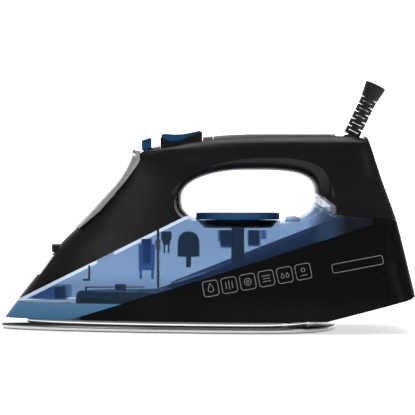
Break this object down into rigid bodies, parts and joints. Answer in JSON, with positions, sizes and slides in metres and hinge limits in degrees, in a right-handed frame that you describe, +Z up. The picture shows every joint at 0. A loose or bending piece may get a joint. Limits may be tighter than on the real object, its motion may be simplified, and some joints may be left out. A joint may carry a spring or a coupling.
{
  "type": "steam iron",
  "caption": "Steam iron with a pointed soleplate, a tinted water tank under a closed handle, a temperature dial below the grip and a jointed cord sleeve.",
  "frame": {"origin": "on the ironing face, under the middle of the whole object's bounding box", "axes": "+X from the nose towards the heel, +Z up from the ironing face, +Y across, to the iron's right-hand side seen from the heel"},
  "size_m": [0.3012, 0.116, 0.1831],
  "materials": {
    "steel": "fine brushed, lightly worn",
    "cast": "as cast, matt",
    "chrome": "bright plated",
    "gloss_black": "glossy moulded plastic",
    "matt_black": "fine-grained moulded plastic",
    "tank_tint": "translucent blue moulding",
    "clear_smoke": "clear moulding",
    "key_blue": "satin blue plastic",
    "brass": "turned",
    "rubber": "matt, flexible"
  },
  "bodies": {
    "body": {"soleplate": "steel", "heating_base": "cast", "sole_skirt": "chrome", "steam_chamber_cover": "cast", "heating_element": "steel", "thermostat": "brass", "heat_shield": "matt_black", "water_tank": "tank_tint", "lower_body": "gloss_black", "rear_cover": "gloss_black", "handle_housing": "gloss_black", "handle_cover": "matt_black", "pilot_lens": "clear_smoke", "filler_duct": "matt_black", "spray_nozzle": "gloss_black", "nozzle_trim": "chrome", "spray_pump": "matt_black", "spray_spring": "steel", "burst_pump": "matt_black", "burst_spring": "steel", "valve_seat": "rubber", "dial_bezel": "gloss_black", "scale_cartridge": "tank_tint", "cartridge_foot": "matt_black", "steam_pump_dome": "gloss_black", "front_boss": "matt_black", "spray_tube": "rubber", "terminal_block": "matt_black", "live_wire": "rubber", "neutral_wire": "rubber"},
    "dial": {"temperature_dial": "key_blue", "dial_shaft": "matt_black"},
    "lever": {"steam_lever": "key_blue"},
    "needle": {"steam_needle": "brass"},
    "spray_key": {"spray_button": "gloss_black", "spray_button_cap": "key_blue"},
    "burst_key": {"burst_button": "gloss_black", "burst_button_cap": "key_blue"},
    "door": {"filler_door": "chrome"},
    "cord_joint": {"cord_barrel": "matt_black"},
    "cord_sleeve": {"cord_guard": "rubber"}
  },
  "joints": [
    {"name": "dial_turn", "type": "hinge", "parent": "body", "child": "dial", "pos_m": [0.02457, 0, 0.083], "axis": [0, 0, 1], "range_deg": [0, 300]},
    {"name": "lever_slide", "type": "slide", "parent": "body", "child": "lever", "axis": [0, 1, 0], "range_m": [-0.003, 0.003]},
    {"name": "needle_lift", "type": "slide", "parent": "body", "child": "needle", "axis": [0, 0, 1], "range_m": [-0.0008, 0.0008]},
    {"name": "spray_press", "type": "slide", "parent": "body", "child": "spray_key", "axis": [0, 0, -1], "range_m": [0, 0.0035], "stiffness_N_per_m": 600, "springref_m": -0.0015},
    {"name": "burst_press", "type": "slide", "parent": "body", "child": "burst_key", "axis": [0, 0, -1], "range_m": [0, 0.0035], "stiffness_N_per_m": 600, "springref_m": -0.0015},
    {"name": "door_swing", "type": "hinge", "parent": "body", "child": "door", "pos_m": [-0.09723, 0, 0.0746], "axis": [0, -1, 0], "range_deg": [0, 75]},
    {"name": "cord_tilt", "type": "hinge", "parent": "body", "child": "cord_joint", "pos_m": [0.10567, 0, 0.1365], "axis": [0, 1, 0], "range_deg": [-46, 9]},
    {"name": "cord_swivel", "type": "hinge", "parent": "cord_joint", "child": "cord_sleeve", "pos_m": [0.10567, 0, 0.1365], "axis": [0.4384, 0, 0.8988], "continuous": true}
  ],
  "couplings": [
    {"joint": "needle_lift", "follows": "lever_slide", "ratio": 0.265}
  ]
}
